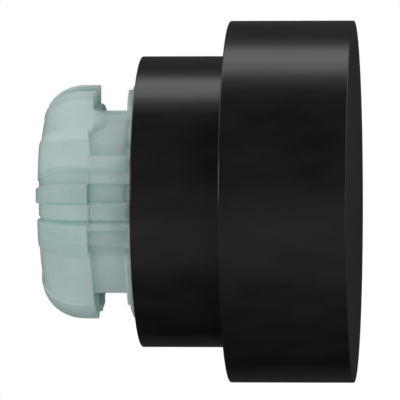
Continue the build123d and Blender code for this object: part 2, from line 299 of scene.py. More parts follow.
@dataclass(frozen=True)
class ClearNylon:
    """Natural glass-filled polyamide: pale grey-green, cloudy and slightly see-through, its colour painted
    lighter and darker with painted light and shade.
    """

    name: str
    # painted light and painted shade: the lit tone and the shaded tone, blended by the collar's
    # painted-shading mark
    painted_lit_colour: tuple[float, float, float] = (0.63, 0.775, 0.77)
    painted_shade_colour: tuple[float, float, float] = (0.325, 0.465, 0.455)
    fleck_gain: float = 1.06
    cloud_spread: float = 0.07
    cloud: Grain = Grain(260.0, 4.0, 0.55)
    fibres: Grain = Grain(3800.0, 3.0, 0.6, (1.0, 0.25, 1.0))
    gloss: float = 0.42
    gloss_under: float = 0.05
    gloss_over: float = 0.06
    depth: float = 0.004
    cloud_depth: float = 0.000010
    fibre_depth: float = 0.000003

    def build(self) -> bpy.types.Material:
        """Make the node material.

        Returns:
            The finished material.
        """
        sheet = NodeSheet(self.name)
        cloud = sheet.noise(self.cloud)
        fibres = sheet.noise(self.fibres)
        # painted light and shade: the mark blends the colour from the painted-shade tone to the painted-lit
        # tone; the random cloud drift on top is the nylon's own
        painted_shading = sheet.remap(sheet.attribute("painted_shading"), 0.0, 1.0, 0.0, 1.0)
        drift = sheet.spread(cloud, -self.cloud_spread, self.cloud_spread)
        pale = sheet.blend(sheet.maths("ADD", painted_shading, drift), self.painted_shade_colour, self.painted_lit_colour)
        fleck = tuple(min(1.0, part * self.fleck_gain) for part in self.painted_lit_colour)
        sheet.link(sheet.blend(sheet.remap(fibres, 0.58, 0.8, 0.0, 0.35), pale, fleck),
                   sheet.shader.inputs["Base Color"])
        sheet.link(sheet.spread(cloud, self.gloss - self.gloss_under, self.gloss + self.gloss_over),
                   sheet.shader.inputs["Roughness"])
        sheet.constant("IOR", 1.5)
        sheet.constant("Subsurface Weight", 1.0)
        sheet.constant("Subsurface Radius", (1.0, 1.15, 1.1))
        sheet.constant("Subsurface Scale", self.depth)
        sheet.bump([(cloud, self.cloud_depth), (fibres, self.fibre_depth)])
        return sheet.material


@dataclass(frozen=True)
class SealRubber:
    """Matt black nitrile rubber with a dusty bloom and fine pores."""

    name: str
    colour: tuple[float, float, float] = (0.012, 0.012, 0.012)
    bloom: tuple[float, float, float] = (0.035, 0.034, 0.032)
    dust: Grain = Grain(600.0, 5.0, 0.65)
    pores: Grain = Grain(7000.0, 2.0, 0.5)
    least_dull: float = 0.62
    most_dull: float = 0.8
    pore_depth: float = 0.000006
    dust_depth: float = 0.000008

    def build(self) -> bpy.types.Material:
        """Make the node material.

        Returns:
            The finished material.
        """
        sheet = NodeSheet(self.name)
        dust = sheet.noise(self.dust)
        sheet.link(sheet.blend(sheet.remap(dust, 0.5, 0.8, 0.0, 0.6), self.colour, self.bloom),
                   sheet.shader.inputs["Base Color"])
        sheet.link(sheet.spread(dust, self.least_dull, self.most_dull), sheet.shader.inputs["Roughness"])
        sheet.bump([(sheet.noise(self.pores), self.pore_depth), (dust, self.dust_depth)])
        return sheet.material


@dataclass(frozen=True)
class TurnedMetal:
    """Bright metal with fine drawing or turning lines and a little tarnish."""

    name: str
    colour: tuple[float, float, float]
    tarnish: tuple[float, float, float]
    gloss: float = 0.28
    gloss_under: float = 0.06
    gloss_over: float = 0.1
    lines: Grain = Grain(1500.0, 3.0, 0.6, (1.0, 14.0, 1.0))
    stain: Grain = Grain(500.0, 4.0, 0.6)
    line_depth: float = 0.000003

    def build(self) -> bpy.types.Material:
        """Make the node material.

        Returns:
            The finished material.
        """
        sheet = NodeSheet(self.name)
        lines = sheet.noise(self.lines)
        stain = sheet.noise(self.stain)
        sheet.link(sheet.blend(sheet.remap(stain, 0.45, 0.75, 0.0, 0.7), self.colour, self.tarnish),
                   sheet.shader.inputs["Base Color"])
        sheet.link(sheet.spread(lines, self.gloss - self.gloss_under, self.gloss + self.gloss_over),
                   sheet.shader.inputs["Roughness"])
        sheet.constant("Metallic", 1.0)
        sheet.bump([(lines, self.line_depth)])
        return sheet.material


@dataclass(frozen=True)
class PaleAcetal:
    """Light grey acetal: waxy, even, with faint ejector and flow clouds."""

    name: str
    colour: tuple[float, float, float] = (0.55, 0.57, 0.56)
    cloud_colour: tuple[float, float, float] = (0.62, 0.64, 0.63)
    cloud: Grain = Grain(320.0, 4.0, 0.55)
    skin: Grain = Grain(5200.0, 3.0, 0.6)
    least_dull: float = 0.34
    most_dull: float = 0.46
    wax: float = 0.2
    wax_depth: float = 0.0006
    skin_depth: float = 0.000003
    cloud_depth: float = 0.000008

    def build(self) -> bpy.types.Material:
        """Make the node material.

        Returns:
            The finished material.
        """
        sheet = NodeSheet(self.name)
        cloud = sheet.noise(self.cloud)
        sheet.link(sheet.blend(sheet.spread(cloud, 0.0, 1.0), self.colour, self.cloud_colour),
                   sheet.shader.inputs["Base Color"])
        sheet.link(sheet.spread(cloud, self.least_dull, self.most_dull), sheet.shader.inputs["Roughness"])
        sheet.constant("Subsurface Weight", self.wax)
        sheet.constant("Subsurface Scale", self.wax_depth)
        sheet.bump([(sheet.noise(self.skin), self.skin_depth), (cloud, self.cloud_depth)])
        return sheet.material


@dataclass(frozen=True)
class FloorPaper:
    """Pale seamless paper under the object, with a very faint tooth."""

    name: str
    colour: tuple[float, float, float] = (0.80, 0.80, 0.80)
    shade: tuple[float, float, float] = (0.77, 0.77, 0.775)
    cloud: Grain = Grain(6.0, 3.0, 0.5)
    tooth: Grain = Grain(900.0, 3.0, 0.6)
    least_dull: float = 0.8
    most_dull: float = 0.95
    tooth_depth: float = 0.00002

    def build(self) -> bpy.types.Material:
        """Make the node material.

        Returns:
            The finished material.
        """
        sheet = NodeSheet(self.name)
        tooth = sheet.noise(self.tooth)
        sheet.link(sheet.blend(sheet.noise(self.cloud), self.colour, self.shade),
                   sheet.shader.inputs["Base Color"])
        sheet.link(sheet.spread(tooth, self.least_dull, self.most_dull), sheet.shader.inputs["Roughness"])
        sheet.bump([(tooth, self.tooth_depth)])
        return sheet.material


@dataclass(frozen=True)
class Palette:
    """All finishes of the object, each made once."""

    cap: bpy.types.Material
    bezel: bpy.types.Material
    nylon: bpy.types.Material
    acetal: bpy.types.Material
    rubber: bpy.types.Material
    steel: bpy.types.Material
    brass: bpy.types.Material

    @classmethod
    def mixed(cls) -> Palette:
        """Build every finish.

        Returns:
            The palette with all its materials.
        """
        return cls(
            cap=MouldedBlack("cap_black").build(),
            bezel=MouldedBlack("bezel_black").build(),
            nylon=ClearNylon("collar_nylon").build(),
            acetal=PaleAcetal("pusher_acetal").build(),
            rubber=SealRubber("seal_rubber").build(),
            steel=TurnedMetal("spring_steel", (0.62, 0.61, 0.59), (0.42, 0.40, 0.37)).build(),
            brass=TurnedMetal("insert_brass", (0.78, 0.57, 0.24), (0.48, 0.33, 0.14)).build(),
        )


# ---------------------------------------------------------------- surface helpers


@dataclass(frozen=True)
class Corner:
    """One corner of a half-section: its radius from the axis, its forward height and its rounding."""

    radius: float
    forward: float
    rounding: float = 0.0


def rounded_outline(corners: list[Corner], steps: int = 7, margin: float = 0.00006) -> np.ndarray:
    """Join corners by straight runs and tangent arcs, as a closed outline.

    Each arc touches both runs at rounding / tan(half the corner's angle) from the corner, and its
    points lie at even angles about the arc's centre. Points a margin away from each arc keep the
    shading of the straight runs flat.

    Args:
        corners: the outline's corners in order.
        steps: points along each arc.
        margin: distance from each arc to its guard point.

    Returns:
        An array of (radius, forward) points.
    """
    points: list[np.ndarray] = []
    places = np.array([[c.radius, c.forward] for c in corners])
    for index, corner in enumerate(corners):
        here = places[index]
        back = places[index - 1] - here
        ahead = places[(index + 1) % len(corners)] - here
        back_unit = back / np.linalg.norm(back)
        ahead_unit = ahead / np.linalg.norm(ahead)
        if corner.rounding <= 0:
            points.append((here + back_unit * margin)[None])
            points.append(here[None])
            points.append((here + ahead_unit * margin)[None])
            continue
        half = math.acos(float(np.clip(back_unit @ ahead_unit, -1, 1))) / 2
        reach = corner.rounding / math.tan(half)
        middle = back_unit + ahead_unit
        centre = here + middle / np.linalg.norm(middle) * corner.rounding / math.sin(half)
        first = here + back_unit * reach - centre
        last = here + ahead_unit * reach - centre
        start = math.atan2(first[1], first[0])
        turn = math.remainder(math.atan2(last[1], last[0]) - start, 2 * math.pi)
        angles = start + turn * np.linspace(0, 1, steps)
        points.append((centre + first + back_unit * margin)[None])
        points.append(centre + corner.rounding * np.stack([np.cos(angles), np.sin(angles)], 1))
        points.append((centre + last + ahead_unit * margin)[None])
    return np.concatenate(points)


def grid_faces(rows: int, columns: int) -> np.ndarray:
    """Quads over a grid that closes on itself both ways.

    Args:
        rows: number of rows of points.
        columns: number of points in a row.

    Returns:
        Rows of four point numbers.
    """
    row, column = np.meshgrid(np.arange(rows), np.arange(columns), indexing="ij")
    next_row = (row + 1) % rows
    next_column = (column + 1) % columns
    quads = np.stack([row * columns + column, next_row * columns + column,
                      next_row * columns + next_column, row * columns + next_column], -1)
    return quads.reshape(-1, 4)


def signed_volume(points: np.ndarray, quads: np.ndarray) -> float:
    """Volume enclosed by quads: a sixth of the sum of triple products of their triangles.

    Args:
        points: one row of X, Y and Z for each point.
        quads: rows of four point numbers.

    Returns:
        The volume, negative where the faces point inwards.
    """
    a, b, c, d = (points[quads[:, k]] for k in range(4))
    first = np.einsum("ij,ij->i", a, np.cross(b, c))
    second = np.einsum("ij,ij->i", a, np.cross(c, d))
    return float((first.sum() + second.sum()) / 6)


def make_piece(name: str, points: np.ndarray, quads: np.ndarray,
               marks: dict[str, np.ndarray] | None = None) -> bpy.types.Object:
    """Turn arrays into a smooth-shaded mesh object with its faces outwards.

    Args:
        name: the piece's name.
        points: one row of X, Y and Z for each point, in metres.
        quads: rows of four point numbers.
        marks: named numbers, one for each point, that materials may read.

    Returns:
        The new object, at the origin.
    """
    if signed_volume(points, quads) < 0:
        quads = quads[:, ::-1]
    mesh = bpy.data.meshes.new(name)
    mesh.vertices.add(len(points))
    mesh.vertices.foreach_set("co", points.astype(np.float32).ravel())
    mesh.loops.add(quads.size)
    mesh.loops.foreach_set("vertex_index", quads.astype(np.int32).ravel())
    mesh.polygons.add(len(quads))
    mesh.polygons.foreach_set("loop_start", np.arange(0, quads.size, 4, dtype=np.int32))
    mesh.polygons.foreach_set("use_smooth", np.ones(len(quads), bool))
    mesh.update(calc_edges=True)
    mesh.validate()
    for mark, values in (marks or {}).items():
        attribute = mesh.attributes.new(mark, "FLOAT", "POINT")
        attribute.data.foreach_set("value", values.astype(np.float32).ravel())
    piece = bpy.data.objects.new(name, mesh)
    bpy.context.scene.collection.objects.link(piece)
    return piece


def ring_points(outline: np.ndarray, segments: int) -> np.ndarray:
    """A half-section at every step round the Y axis.

    A point at radius r and forward height f lies at (r cos a, -f, r sin a) for every angle a of the
    full turn.

    Args:
        outline: (radius, forward) points.
        segments: steps round the axis.

    Returns:
        The points, one step's whole half-section after another.
    """
    angle = np.linspace(0, 2 * np.pi, segments, endpoint=False)[:, None]
    radius, forward = outline[:, 0][None], outline[:, 1][None]
    points = np.stack([radius * np.cos(angle), -forward + 0 * angle, radius * np.sin(angle)], -1)
    return points.reshape(-1, 3)


def turned(outline: np.ndarray, segments: int) -> tuple[np.ndarray, np.ndarray]:
    """Carry a closed half-section that stays off the axis round the Y axis.

    Args:
        outline: (radius, forward) points of a closed outline.
        segments: steps round the axis.

    Returns:
        The points and the quads.
    """
    return ring_points(outline, segments), grid_faces(segments, len(outline))


def turned_solid(outline: np.ndarray, segments: int) -> tuple[np.ndarray, np.ndarray]:
    """Carry a half-section that starts and ends on the Y axis round it, with both poles closed.

    Each pole is one point, joined to its ring by quads that span two steps each.

    Args:
        outline: (radius, forward) points; the first and the last lie on the axis.
        segments: steps round the axis, an even number.

    Returns:
        The points, with the two poles last, and the quads.
    """
    inner = outline[1:-1]
    poles = np.stack([outline[[0, -1], 0], -outline[[0, -1], 1], 0 * outline[[0, -1], 0]], 1)
    points = np.concatenate([ring_points(inner, segments), poles])
    columns = len(inner)
    sides = grid_faces(segments, columns).reshape(segments, columns, 4)[:, :-1].reshape(-1, 4)
    step = np.arange(0, segments, 2)
    near, middle, far = (columns * ((step + k) % segments) for k in range(3))
    first = np.full_like(step, segments * columns)
    front_fan = np.stack([first, far, middle, near], 1)
    end = columns - 1
    rear_fan = np.stack([near + end, middle + end, far + end, first + 1], 1)
    return points, np.concatenate([sides, front_fan, rear_fan])


def edge_mark(outline: np.ndarray, segments: int, reach: float) -> np.ndarray:
    """How near each turned point is to an edge of its outline.

    The mark is the outline's turning angle at each point, spread over its neighbours by
    exp(-(distance / reach) squared), and limited to 1. Points on the axis have no mark of their own.

    Args:
        outline: (radius, forward) points of a closed outline, or of one from pole to pole.
        segments: steps round the axis.
        reach: how far the wear of an edge reaches, in metres.

    Returns:
        One number from 0 to 1 for each turned point, in the order of turned or turned_solid.
    """
    before = outline - np.roll(outline, 1, 0)
    after = np.roll(outline, -1, 0) - outline
    cross = before[:, 0] * after[:, 1] - before[:, 1] * after[:, 0]
    on_axis = outline[:, 0] == 0
    turn = np.where(on_axis, 0, np.abs(np.arctan2(cross, (before * after).sum(1))))
    apart = np.linalg.norm(outline[:, None] - outline[None], axis=2)
    mark = np.clip((np.exp(-(apart / reach) ** 2) * turn[None]).sum(1) / (np.pi / 2), 0, 1)
    return np.concatenate([np.tile(mark[~on_axis], segments), mark[on_axis]])


def dress(piece: bpy.types.Object, finish: bpy.types.Material, slot: str, body: Body,
          *nodes: str) -> bpy.types.Object:
    """Give a new piece its finish and body, and let it stand for CAD nodes.

    Args:
        piece: the new object.
        finish: its material.
        slot: the record's material slot; not used.
        body: the body that it rides on.
        nodes: the CAD nodes that it replaces.

    Returns:
        The same object.
    """
    piece.data.materials.append(finish)
    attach(piece, body.value)
    if nodes:
        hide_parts(*nodes)
    log.info("%s: %d points, rides on %s", piece.name, len(piece.data.vertices), body.value)
    return piece


def repaint(node: bpy.types.Object, finish: bpy.types.Material) -> None:
    """Give a carried-over CAD node its finish.

    Args:
        node: the node's object.
        finish: the material for its slots.
    """
    node.data.materials.clear()
    node.data.materials.append(finish)
    log.info("%s: carried over with %s", node.name, finish.name)


def span_of(node: str) -> tuple[float, float, float]:
    """A round CAD node's outer radius, rear height and front height, from its box."""
    low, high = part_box(node)
    return (high.x - low.x) / 2, -high.y, -low.y


# ---------------------------------------------------------------- the moving button


@dataclass(frozen=True)
class MushroomCap:
    """The wide flat palm button: a round cup with a soft rim, a hub and stiffening ribs inside."""

    finish: bpy.types.Material
    wall: float = 2.0 * MM
    face: float = 2.0 * MM
    front_edge: float = 0.12 * MM
    rear_edge: float = 0.15 * MM
    inner_edge: float = 0.15 * MM
    inner_fillet: float = 0.5 * MM
    hub_fillet: float = 0.3 * MM
    hub_edge: float = 0.1 * MM
    dish: float = 0.2 * MM
    dish_steps: int = 14
    rim: float = 2.4 * MM
    hub_radius: float = 5.58 * MM
    insert_radius: float = 4.2 * MM
    hub_rear: float = 15.8 * MM
    insert_front: float = 18.9 * MM
    rib_count: int = 8
    rib_thickness: float = 1.1 * MM
    rib_height: float = 0.8 * MM
    rib_overlap: float = 0.1 * MM
    rib_gap: float = 0.6 * MM
    wear_reach: float = 0.4 * MM
    segments: int = 256

    def outline(self) -> np.ndarray:
        """Half-section of the cap, from the middle of its face round the skirt and back to the hub.

        The dish is the part of a parabola that falls to its full depth on the axis.

        Returns:
            (radius, forward) points from one pole to the other.
        """
        radius, rear, front = span_of("mushroom_cap")
        inner = radius - self.wall
        inside = front - self.face
        dished = radius - self.rim
        across = np.linspace(0.0, 1.0, self.dish_steps)[:-1]
        dish = np.stack([across * dished, front - self.dish * (1 - across ** 2)], 1)
        corners = rounded_outline([
            Corner(dished, front), Corner(radius, front, self.front_edge),
            Corner(radius, rear, self.rear_edge), Corner(inner, rear, self.inner_edge),
            Corner(inner, inside, self.inner_fillet), Corner(self.hub_radius, inside, self.hub_fillet),
            Corner(self.hub_radius, self.hub_rear, self.hub_edge),
            Corner(self.insert_radius, self.hub_rear),
            Corner(self.insert_radius, self.insert_front), Corner(0.0, self.insert_front),
        ])
        return np.concatenate([dish, corners[2:-1]])

    def ribs(self) -> tuple[np.ndarray, np.ndarray]:
        """Radial slabs under the face: one box turned to every rib's angle.

        Returns:
            The points and the quads.
        """
        radius, _, front = span_of("mushroom_cap")
        inside = front - self.face
        start, end = self.hub_radius - self.rib_overlap, radius - self.wall - self.rib_gap
        half = self.rib_thickness / 2
        corner = np.array([[x, y, z] for x in (start, end) for y in (-half, half)
                           for z in (inside - self.rib_height, inside + self.rib_overlap)])
        faces = np.array([[0, 1, 3, 2], [4, 6, 7, 5], [0, 4, 5, 1], [2, 3, 7, 6], [0, 2, 6, 4], [1, 5, 7, 3]])
        angle = np.arange(self.rib_count)[:, None] * 2 * np.pi / self.rib_count
        along, aside, height = corner.T[:, None]
        points = np.stack([along * np.cos(angle) - aside * np.sin(angle), -height + 0 * angle,
                           along * np.sin(angle) + aside * np.cos(angle)], -1).reshape(-1, 3)
        quads = (faces[None] + 8 * np.arange(self.rib_count)[:, None, None]).reshape(-1, 4)
        return points, quads

    def build(self) -> None:
        """Make the cap and its ribs, in place of the CAD cap."""
        outline = self.outline()
        points, quads = turned_solid(outline, self.segments)
        worn = edge_mark(outline, self.segments, self.wear_reach)
        cap = make_piece("palm_cap", points, quads, {"edge": worn})
        dress(cap, self.finish, "cap_plastic", Body.BUTTON, "mushroom_cap")
        points, quads = self.ribs()
        ribs = make_piece("cap_ribs", points, quads, {"edge": np.zeros(len(points))})
        ribs.data.polygons.foreach_set("use_smooth", np.zeros(len(ribs.data.polygons), bool))
        dress(ribs, self.finish, "cap_plastic", Body.BUTTON)


@dataclass(frozen=True)
class ReturnSpring:
    """The steel coil between the seat washer and the plunger's cup, with closed, ground ends."""

    finish: bpy.types.Material
    wire: float = 0.4 * MM
    turns: float = 7.0
    closed_turns: float = 1.0
    sections: int = 640
    round_steps: int = 14
    end_rise: float = 1.9
    blend_steps: int = 12
    tip_share: float = 0.02
    taper_share: float = 0.8
    keep: float = 0.7

    def build(self) -> None:
        """Sweep the wire along the coil.

        The wire's centre runs round at one radius. Its height rises by about a wire's thickness in
        each end turn and evenly between them, averaged where the two meet. Each section is a circle
        in the plane of the radial direction and the one across both it and the wire, and the end
        sections close almost to a point.
        """
        radius, rear, front = span_of("return_spring")
        middle = radius - self.wire
        run = np.linspace(0.0, 1.0, self.sections)
        total = self.turns + 2 * self.closed_turns
        end = self.closed_turns / total
        low, high = rear + self.wire, front - self.wire
        rise = self.wire * self.end_rise
        height = np.interp(run, [0, end, 1 - end, 1], [low, low + rise, high - rise, high])
        window = 2 * self.blend_steps + 1
        height = np.convolve(np.pad(height, self.blend_steps, "edge"), np.ones(window) / window, "valid")
        turn = 2 * np.pi * total * run
        centre = np.stack([middle * np.cos(turn), -height, middle * np.sin(turn)], 1)
        along = np.gradient(centre, axis=0)
        along /= np.linalg.norm(along, axis=1, keepdims=True)
        outward = np.stack([np.cos(turn), 0 * turn, np.sin(turn)], 1)
        across = np.cross(along, outward)
        around = np.linspace(0, 2 * np.pi, self.round_steps, endpoint=False)[None, :, None]
        size = np.full(self.sections, self.wire)
        size[[0, -1]] = self.wire * self.tip_share
        size[[1, -2]] = self.wire * self.taper_share
        points = centre[:, None] + size[:, None, None] * (
            np.cos(around) * outward[:, None] + np.sin(around) * across[:, None])
        points[:, :, 1] = np.clip(points[:, :, 1], -front, -rear)
        row, column = np.meshgrid(np.arange(self.sections - 1), np.arange(self.round_steps), indexing="ij")
        after = (column + 1) % self.round_steps
        quads = np.stack([row * self.round_steps + column, (row + 1) * self.round_steps + column,
                          (row + 1) * self.round_steps + after, row * self.round_steps + after], -1)
        last = (self.sections - 1) * self.round_steps
        half = self.round_steps // 2
        fan = np.arange(1, half)
        first_cap = np.stack([fan - 1, fan, self.round_steps - fan - 1, self.round_steps - fan], -1)
        quads = np.concatenate([quads.reshape(-1, 4), first_cap, first_cap[:, ::-1] + last])
        coil = make_piece("return_coil", points.reshape(-1, 3), quads)
        dress(coil, self.finish, "spring_steel", Body.BUTTON, "return_spring")
        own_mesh(coil)


# ---------------------------------------------------------------- the fixed housing


@dataclass(frozen=True)
class BezelRing:
    """The round black body on the panel's front, with the groove for the gasket in its rear face."""

    finish: bpy.types.Material
    shoulder: float = 11.1 * MM
    bore: float = 12.3 * MM
    seal_bore: float = 12.75 * MM
    groove: float = 12.7 * MM
    gasket_inner: float = 11.6 * MM
    gasket_outer: float = 13.1 * MM
    gasket_depth: float = 1.0 * MM
    shoulder_front: float = 2.4 * MM
    groove_rear: float = 3.6 * MM
    groove_front: float = 4.4 * MM
    seal_seat: float = 9.0 * MM
    edge: float = 0.12 * MM
    groove_edge: float = 0.06 * MM
    bore_edge: float = 0.08 * MM
    seal_edge: float = 0.12 * MM
    flat_margin: float = 0.03 * MM
    wear_reach: float = 0.3 * MM
    segments: int = 256

    def build(self) -> None:
        """Turn the ring, in place of the CAD one."""
        radius, rear, front = span_of("bezel_ring")
        outline = rounded_outline([
            Corner(radius, front, self.edge), Corner(radius, rear, self.edge),
            Corner(self.gasket_outer, rear, self.groove_edge), Corner(self.gasket_outer, self.gasket_depth),
            Corner(self.gasket_inner, self.gasket_depth), Corner(self.gasket_inner, rear, self.groove_edge),
            Corner(self.shoulder, rear, self.bore_edge), Corner(self.shoulder, self.shoulder_front),
            Corner(self.bore, self.shoulder_front), Corner(self.bore, self.groove_rear),
            Corner(self.groove, self.groove_rear), Corner(self.groove, self.groove_front),
            Corner(self.bore, self.groove_front), Corner(self.bore, self.seal_seat),
            Corner(self.seal_bore, self.seal_seat), Corner(self.seal_bore, front, self.seal_edge),
        ], margin=self.flat_margin)
        points, quads = turned(outline, self.segments)
        worn = edge_mark(outline, self.segments, self.wear_reach)
        ring = make_piece("bezel_body", points, quads, {"edge": worn})
        dress(ring, self.finish, "bezel_plastic", Body.HOUSING, "bezel_ring")


@dataclass(frozen=True)
class RubberRings:
    """The soft rings of the housing: panel gasket, collar O-ring, stop cushion and lip seal."""

    finish: bpy.types.Material
    gasket_bore: float = 11.62 * MM
    gasket_edge: float = 0.12 * MM
    cushion_bore: float = 7.6 * MM
    cushion_edge: float = 0.15 * MM
    ring_steps: int = 20
    lip: float = 9.05 * MM
    lip_front: float = 1.3 * MM
    lip_rear: float = 0.95 * MM
    front_slope: float = 1.7 * MM
    rear_slope: float = 1.1 * MM
    body_edge: float = 0.1 * MM
    slope_edge: float = 0.15 * MM
    lip_edge: float = 0.08 * MM
    flat_margin: float = 0.02 * MM
    segments: int = 160

    def band(self, node: str, name: str, inner: float, rounding: float) -> None:
        """Turn a ring of oblong section with rounded corners, in a CAD ring's place.

        Args:
            node: the CAD ring.
            name: the new piece's name.
            inner: the ring's inner radius.
            rounding: radius of its four corners.
        """
        radius, rear, front = span_of(node)
        outline = rounded_outline([Corner(radius, front, rounding), Corner(radius, rear, rounding),
                                   Corner(inner, rear, rounding), Corner(inner, front, rounding)],
                                  margin=self.flat_margin)
        points, quads = turned(outline, self.segments)
        dress(make_piece(name, points, quads), self.finish, "gasket_rubber", Body.HOUSING, node)

    def collar_ring(self) -> None:
        """Turn the collar's O-ring, a torus as thick as its CAD one."""
        radius, rear, front = span_of("collar_o_ring")
        thick = (front - rear) / 2
        around = np.linspace(0, 2 * np.pi, self.ring_steps, endpoint=False)
        outline = np.stack([radius - thick + thick * np.cos(around),
                            (front + rear) / 2 + thick * np.sin(around)], 1)
        points, quads = turned(outline, self.segments)
        ring = make_piece("o_ring", points, quads)
        dress(ring, self.finish, "gasket_rubber", Body.HOUSING, "collar_o_ring")

    def wiper(self) -> None:
        """Turn the lip seal, a ring whose two slopes meet in a narrow lip."""
        radius, rear, front = span_of("lip_seal")
        outline = rounded_outline([
            Corner(radius, rear, self.body_edge), Corner(radius, front, self.body_edge),
            Corner(self.lip + self.front_slope, front, self.slope_edge),
            Corner(self.lip, rear + self.lip_front, self.lip_edge),
            Corner(self.lip, rear + self.lip_rear, self.lip_edge),
            Corner(self.lip + self.rear_slope, rear, self.slope_edge),
        ], margin=self.flat_margin)
        points, quads = turned(outline, self.segments)
        seal = make_piece("wiper_seal", points, quads)
        dress(seal, self.finish, "gasket_rubber", Body.HOUSING, "lip_seal")

    def build(self) -> None:
        """Turn all four rings."""
        self.band("panel_gasket", "gasket_ring", self.gasket_bore, self.gasket_edge)
        self.band("stop_cushion", "cushion_ring", self.cushion_bore, self.cushion_edge)
        self.collar_ring()
        self.wiper()


@dataclass(frozen=True)
class Run:
    """One stretch of the collar's section: its two angles, its radius at each, flat or round."""

    start: float
    end: float
    first: float
    last: float
    flat: bool = False

    def radius(self, angle: np.ndarray) -> np.ndarray:
        """Radius of the stretch at some angles.

        A round stretch changes evenly with the angle. A flat one is the straight line between its
        ends: first * last * sin(span) / (first * sin(from start) + last * sin(to end)).

        Args:
            angle: angles in degrees, inside the stretch.

        Returns:
            The radii.
        """
        if not self.flat:
            return self.first + (self.last - self.first) * (angle - self.start) / (self.end - self.start)
        since, until = np.radians(angle - self.start), np.radians(self.end - angle)
        span = math.radians(self.end - self.start)
        across = self.first * np.sin(since) + self.last * np.sin(until)
        return self.first * self.last * math.sin(span) / across


def folded(angle: np.ndarray) -> np.ndarray:
    """Angles in degrees, folded into the half turn from -90 to 90.

    Args:
        angle: angles from -90 to 270 degrees.

    Returns:
        The folded angles.
    """
    return (angle + 90) % 180 - 90


def section(runs: tuple[Run, ...], half: np.ndarray, soft: float) -> np.ndarray:
    """Value of a chain of stretches at each angle, with every step between them softened.

    The chain is laid out in fine steps round one half turn, which repeats, and averaged twice over
    the soft width.

    Args:
        runs: the stretches from -90 to 90 degrees, in millimetres.
        half: angles folded into that half turn.
        soft: width of the averages in degrees.

    Returns:
        The value at each angle, in metres.
    """
    fine = np.arange(-90, 90, FINE_STEP) + FINE_STEP / 2
    value = np.zeros_like(fine)
    for run in runs:
        inside = (fine >= run.start) & (fine < run.end)
        value[inside] = run.radius(fine[inside])
    width = max(1, int(round(soft / FINE_STEP)) | 1)
    for _ in range(2):
        padded = np.pad(value, width // 2, "wrap")
        value = np.convolve(padded, np.ones(width) / width, "valid")
    return np.interp(half, fine, value, period=180) * MM


LOW_KEY = (Run(-15.4, -11.9, 10.60, 10.60), Run(-11.9, -10.6, 10.60, 10.40),
           Run(-10.6, -9.3, 10.40, 10.60))
MAIN_KEY = (Run(9.1, 14.3, 10.78, 10.82), Run(14.3, 15.2, 10.84, 10.68), Run(15.2, 17.8, 10.68, 11.02),
            Run(17.8, 23.3, 11.02, 11.00))


